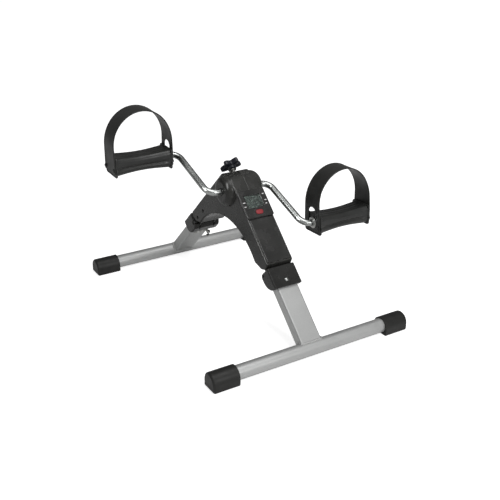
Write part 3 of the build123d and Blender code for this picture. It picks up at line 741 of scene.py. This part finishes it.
for side in (-1, 1):
    end = END[side]
    outline = resample(rounded_rect(LEG_SIZE[0] + 1.0, LEG_SIZE[1] + 1.0, 3.5, 8), 220)
    path = []
    for x, b in outline:
        path.append(limb(side, LEG_MID + b, tube_top(side, LEG_MID + b) + 0.4, x))
    rings = []
    count = len(path)
    for i in range(count):
        tangent = (path[(i + 1) % count] - path[i - 1]).normalized()
        out = (path[i] - limb(side, LEG_MID, tube_top(side, LEG_MID))).normalized()
        out = (out - tangent * out.dot(tangent)).normalized()
        lift = tangent.cross(out)
        around = 2 * math.pi * i / count
        ripple = 1.0 + 0.14 * math.cos(around * BEAD_RIPPLES) + 0.06 * math.sin(around * BEAD_WAVES)
        rays = [out * math.cos(a) + lift * math.sin(a) for a in turns(BEAD_SIDES)]
        rings.append([path[i] + ray * BEAD_R * ripple * MM for ray in rays])
    bead = mesh_piece(end + "_weld_bead", *rings_mesh(rings, loop=True), "leg_paint", end + "_leg", 180)
    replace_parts(bead, end + "_weld")

    foot = limb(side, BUTTON_FOOT, BUTTON_U[side])
    profile = [(0.0, 0.0), (5.4, 0.0), (5.4, 1.8), (5.0, 2.2), (BUTTON_R, 2.3), (BUTTON_R, BUTTON_SHOULDER)]
    for degrees in range(10, 91, 10):
        a = math.radians(degrees)
        profile.append((BUTTON_R * math.cos(a), BUTTON_SHOULDER + BUTTON_CROWN * math.sin(a)))
    turned = lathe(foot, OUT[side], profile, 40)
    dome = mesh_piece(end + "_button_dome", *turned, "chrome", end + "_lock_button", 40)
    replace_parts(dome, end + "_lock_button")

    coil = []
    for i in range(SPRING_STEPS + 1):
        t = i / SPRING_STEPS
        a = 2 * math.pi * SPRING_TURNS * t
        centre = limb(side, SPRING_FOOT + SPRING_LENGTH * t, BUTTON_U[side])
        coil.append(centre + (X_AXIS * math.cos(a) + UP[side] * math.sin(a)) * SPRING_R * MM)
    wire = sweep(coil, SPRING_WIRE_R * MM, 10, up=OUT[side])
    spring = mesh_piece(end + "_spring_coil", *wire, "zinc", end + "_leg", 180)
    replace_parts(spring, end + "_button_spring")

# ---------------------------------------------------------------- display face
RESET_U = 87.5
RESET_X = 0.5
FIGURES_LOW = 200.75
FIGURES_HIGH = 200.86


def oval(width, height, per_end=20):
    """Outline of a slot with round ends."""
    return rounded_rect(width, height, height / 2 - 0.001, per_end)


layers = ((199.4, 18.0, 12.0), (200.4, 18.0, 12.0), (200.4, 15.0, 9.0), (203.6, 15.0, 9.0))
layers += ((204.2, 14.5, 8.5), (204.6, 13.4, 7.4), (204.8, 11.5, 5.5), (204.85, 8.0, 2.2))
rings = []
for off, width, height in layers:
    shape = resample(oval(width, height), 96)
    rings.append([limb(-1, off, RESET_U + b, RESET_X + a) for a, b in shape])
red = mesh_piece("display_push", *rings_mesh(rings), "button", "display_button", 60)
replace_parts(red, "display_button")

ZERO_BARS = (
    ((0, 2), (1, 2)),
    ((1, 1), (1, 2)),
    ((1, 0), (1, 1)),
    ((0, 0), (1, 0)),
    ((0, 0), (0, 1)),
    ((0, 1), (0, 2)),
)


def flat_bar(x0, u0, x1, u1, half):
    """Low box along a line on the display glass."""
    length = math.hypot(x1 - x0, u1 - u0)
    tx, tu = (x1 - x0) / length, (u1 - u0) / length
    gap = 0.25
    corners = []
    for along, across in ((gap, -half), (length - gap, -half), (length - gap, half), (gap, half)):
        corners.append((x0 + tx * along - tu * across, u0 + tu * along + tx * across))
    rings = [[limb(-1, off, u, x) for x, u in corners] for off in (FIGURES_LOW, FIGURES_HIGH)]
    return rings_mesh(rings)


def digits(text, x, u, width, height, half):
    """Seven-bar noughts and points along the glass."""
    parts = []
    for mark in text:
        if mark == ".":
            parts.append(flat_bar(x - 0.8, u, x + 0.3, u, half))
            x += 1.2
            continue
        for (a, b), (c, d) in ZERO_BARS:
            parts.append(flat_bar(x + a * width, u + b * height / 2, x + c * width, u + d * height / 2, half))
        x += width + 2.2
    return parts


figures = digits("0.00", -10.7, 110.9, 3.6, 7.2, 0.42) + digits("000", -0.7, 100.0, 2.6, 5.0, 0.34)
shown = mesh_piece("display_figures", *join(figures), "lcd", "base", 30)
shown.data.materials[0] = MATERIALS["lcd_figure"]

# ---------------------------------------------------------------- shown CAD nodes
replaced = set()
for piece in bpy.data.objects:
    replaced.update(piece.get("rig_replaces", []))
for name, obj in nodes.items():
    if name not in replaced:
        smooth_by_angle(obj, 30)

# ---------------------------------------------------------------- floor, light and camera
FLOOR_REACH = 14.0
FLOOR_DROP = 0.0002
FLOOR_GLOW = 0.75
floor_mesh = bpy.data.meshes.new("floor")
floor_corners = [(a * FLOOR_REACH, b * FLOOR_REACH, 0) for a, b in ((-1, -1), (1, -1), (1, 1), (-1, 1))]
floor_mesh.from_pydata(floor_corners, [], [(0, 1, 2, 3)])
floor = bpy.data.objects.new("floor", floor_mesh)
floor.location.z = -FLOOR_DROP
bpy.context.scene.collection.objects.link(floor)
g = Graph("floor")
ground = g.finish((0.9, 0.9, 0.9), 0.9, g.noise(300.0, 2.0), 0.0, 0.02, 0.0001, Specular_IOR_Level=0.0)
principled = [n for n in ground.node_tree.nodes if n.type == "BSDF_PRINCIPLED"][0]
principled.inputs["Emission Color"].default_value = (1, 1, 1, 1)
seen = g.add("ShaderNodeLightPath").outputs["Is Camera Ray"]
g.link(g.ramp(seen, 0.0, 1.0, 0.0, FLOOR_GLOW), principled.inputs["Emission Strength"])
floor_mesh.materials.append(ground)


def softbox(name, place, target, width, height, watts):
    """Rectangular area light turned towards its target."""
    light = bpy.data.lights.new(name, "AREA")
    light.shape = "RECTANGLE"
    light.size, light.size_y = width, height
    light.energy = watts
    obj = bpy.data.objects.new(name, light)
    obj.location = place
    obj.rotation_euler = (Vector(target) - Vector(place)).to_track_quat("-Z", "Y").to_euler()
    bpy.context.scene.collection.objects.link(obj)
    return obj


softbox("top_light", (0.05, -0.6, 2.0), (0, 0, 0.1), 1.1, 1.1, 17)
edge_light = softbox("edge_light", (-1.6, -0.25, 1.2), (0, 0, 0.2), 0.5, 1.1, 32)
# diffuse rays miss this light, and only the shells and the rod take it
edge_light.visible_diffuse = False
glossy_shells = bpy.data.collections.new("glossy_shells")
for name in ("housing_left", "housing_right", "front_cover", "display_case"):
    glossy_shells.objects.link(nodes[name])
glossy_shells.objects.link(rod)
edge_light.light_linking.receiver_collection = glossy_shells
softbox("front_light", (0.2, -2.4, 1.2), (0, 0, 0.1), 1.0, 0.6, 17)

# the world is white to the camera and a soft grade, brighter above and in front, to everything else
world = bpy.data.worlds.new("studio")
bpy.context.scene.world = world
world.use_nodes = True
tree = world.node_tree
tree.nodes.clear()
direction = tree.nodes.new("ShaderNodeTexCoord")
facing = tree.nodes.new("ShaderNodeVectorMath")
facing.operation = "DOT_PRODUCT"
facing.inputs[1].default_value = (0.0, -0.6, 0.8)
tree.links.new(direction.outputs["Generated"], facing.inputs[0])
grade = tree.nodes.new("ShaderNodeValToRGB")
grade.color_ramp.elements[0].position = 0.0
grade.color_ramp.elements[0].color = (0.37, 0.37, 0.37, 1)
grade.color_ramp.elements[1].position = 0.9
grade.color_ramp.elements[1].color = (0.85, 0.85, 0.85, 1)
tree.links.new(facing.outputs["Value"], grade.inputs["Fac"])
studio = tree.nodes.new("ShaderNodeBackground")
studio.inputs["Strength"].default_value = 0.45
tree.links.new(grade.outputs["Color"], studio.inputs["Color"])
white = tree.nodes.new("ShaderNodeBackground")
white.inputs["Color"].default_value = (1, 1, 1, 1)
ray = tree.nodes.new("ShaderNodeLightPath")
choose = tree.nodes.new("ShaderNodeMixShader")
tree.links.new(ray.outputs["Is Camera Ray"], choose.inputs[0])
tree.links.new(studio.outputs[0], choose.inputs[1])
tree.links.new(white.outputs[0], choose.inputs[2])
surface = tree.nodes.new("ShaderNodeOutputWorld")
tree.links.new(choose.outputs[0], surface.inputs["Surface"])

# the photo's camera, solved from the floor-tube caps: focal length in millimetres, the rest in metres
FOCAL = 57.19
SENSOR = 36.0
DISTANCE = 1.4751
AIM = Vector((0.00012, -0.04414, 0.120))
BACK = Vector((-0.4711, -0.7791, 0.4137)).normalized()
lens = bpy.data.cameras.new("camera")
lens.sensor_width = SENSOR
lens.lens = FOCAL
lens.clip_end = 60.0
camera = bpy.data.objects.new("camera", lens)
bpy.context.scene.collection.objects.link(camera)
camera.location = AIM + BACK * DISTANCE
camera.rotation_euler = (-BACK).to_track_quat("-Z", "Y").to_euler()
bpy.context.scene.camera = camera
bpy.context.scene.view_settings.view_transform = "Standard"
